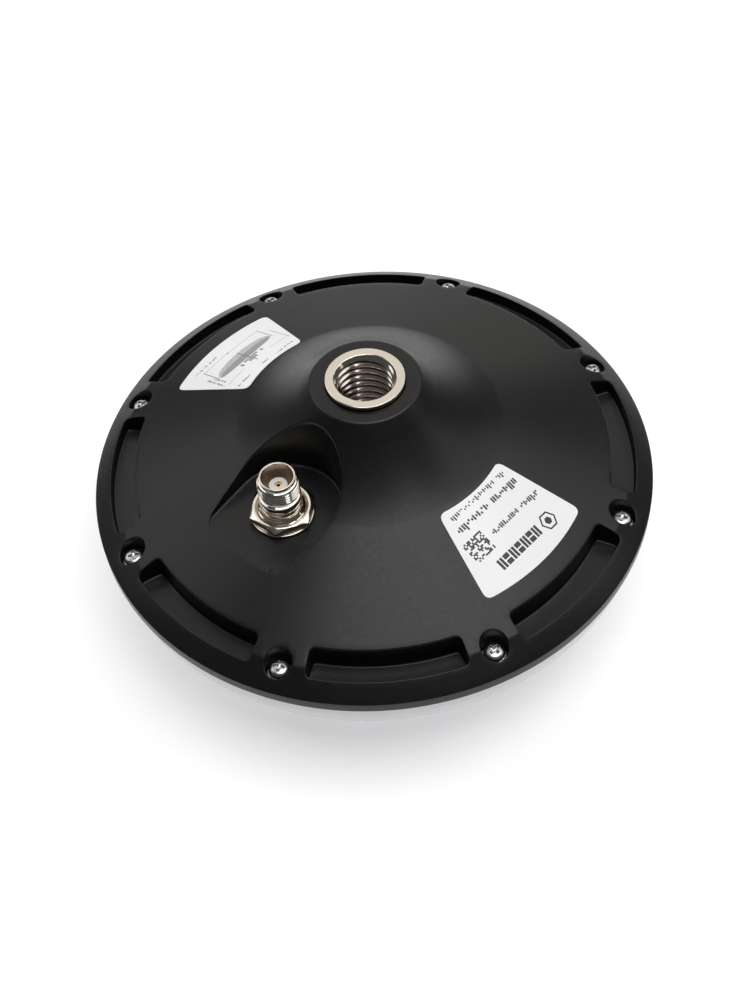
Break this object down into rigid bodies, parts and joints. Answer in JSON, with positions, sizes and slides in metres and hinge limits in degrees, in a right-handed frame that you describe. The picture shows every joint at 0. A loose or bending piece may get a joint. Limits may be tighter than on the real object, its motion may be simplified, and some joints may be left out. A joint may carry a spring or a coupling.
{
  "type": "gnss receiver antenna",
  "caption": "Round survey antenna: white domed radome, black conical base with rim slots, threaded pole boss and recessed coaxial connector.",
  "frame": {"origin": "under the middle of the radome's outer face, on the surface the antenna lies on", "axes": "+Z runs from the radome towards the threaded boss, so it is opposite to the zenith in use; the coaxial connector stands on the -Y side of the boss"},
  "size_m": [0.152, 0.152, 0.0622],
  "materials": {
    "radome_plastic": "smooth satin white weatherproof plastic",
    "base_plastic": "matte black plastic with a fine moulded grain",
    "seal_rubber": "black silicone rubber",
    "nickel_plate": "bright nickel plating on turned brass, slightly warm",
    "stainless": "bright stainless fasteners",
    "gold_plate": "gold plating on brass",
    "ptfe": "waxy off-white fluoropolymer",
    "label_film": "glossy white film with grey and black print",
    "reflector_aluminium": "plain milled sheet",
    "board_laminate": "green solder mask over glass laminate",
    "nylon": "natural nylon",
    "tinned_steel": "tinned sheet steel",
    "coax_jacket": "brown translucent fluoropolymer jacket"
  },
  "bodies": {
    "root": {"radome": "radome_plastic", "base_housing": "base_plastic", "perimeter_seal": "seal_rubber", "thread_insert": "nickel_plate", "cover_screw_1": "stainless", "cover_screw_2": "stainless", "cover_screw_3": "stainless", "cover_screw_4": "stainless", "cover_screw_5": "stainless", "cover_screw_6": "stainless", "cover_screw_7": "stainless", "cover_screw_8": "stainless", "cover_washer_1": "stainless", "cover_washer_2": "stainless", "cover_washer_3": "stainless", "cover_washer_4": "stainless", "cover_washer_5": "stainless", "cover_washer_6": "stainless", "cover_washer_7": "stainless", "cover_washer_8": "stainless", "spring_washer_1": "stainless", "spring_washer_2": "stainless", "spring_washer_3": "stainless", "spring_washer_4": "stainless", "spring_washer_5": "stainless", "spring_washer_6": "stainless", "spring_washer_7": "stainless", "spring_washer_8": "stainless", "label_spec": "label_film", "label_diagram": "label_film", "tnc_body": "nickel_plate", "tnc_dielectric": "ptfe", "tnc_center_contact": "gold_plate", "tnc_o_ring": "seal_rubber", "tnc_washer": "nickel_plate", "tnc_hex_nut": "nickel_plate", "ground_plate": "reflector_aluminium", "lna_board": "board_laminate", "lower_patch": "board_laminate", "upper_patch": "board_laminate", "lower_spacer": "nylon", "upper_spacer": "nylon", "shield_can": "tinned_steel", "coax_pigtail": "coax_jacket", "feed_pin_1": "gold_plate", "feed_pin_2": "gold_plate", "feed_pin_3": "gold_plate", "feed_pin_4": "gold_plate", "stack_screw_1": "stainless", "stack_screw_2": "stainless", "stack_screw_3": "stainless", "stack_screw_4": "stainless"}
  },
  "joints": []
}
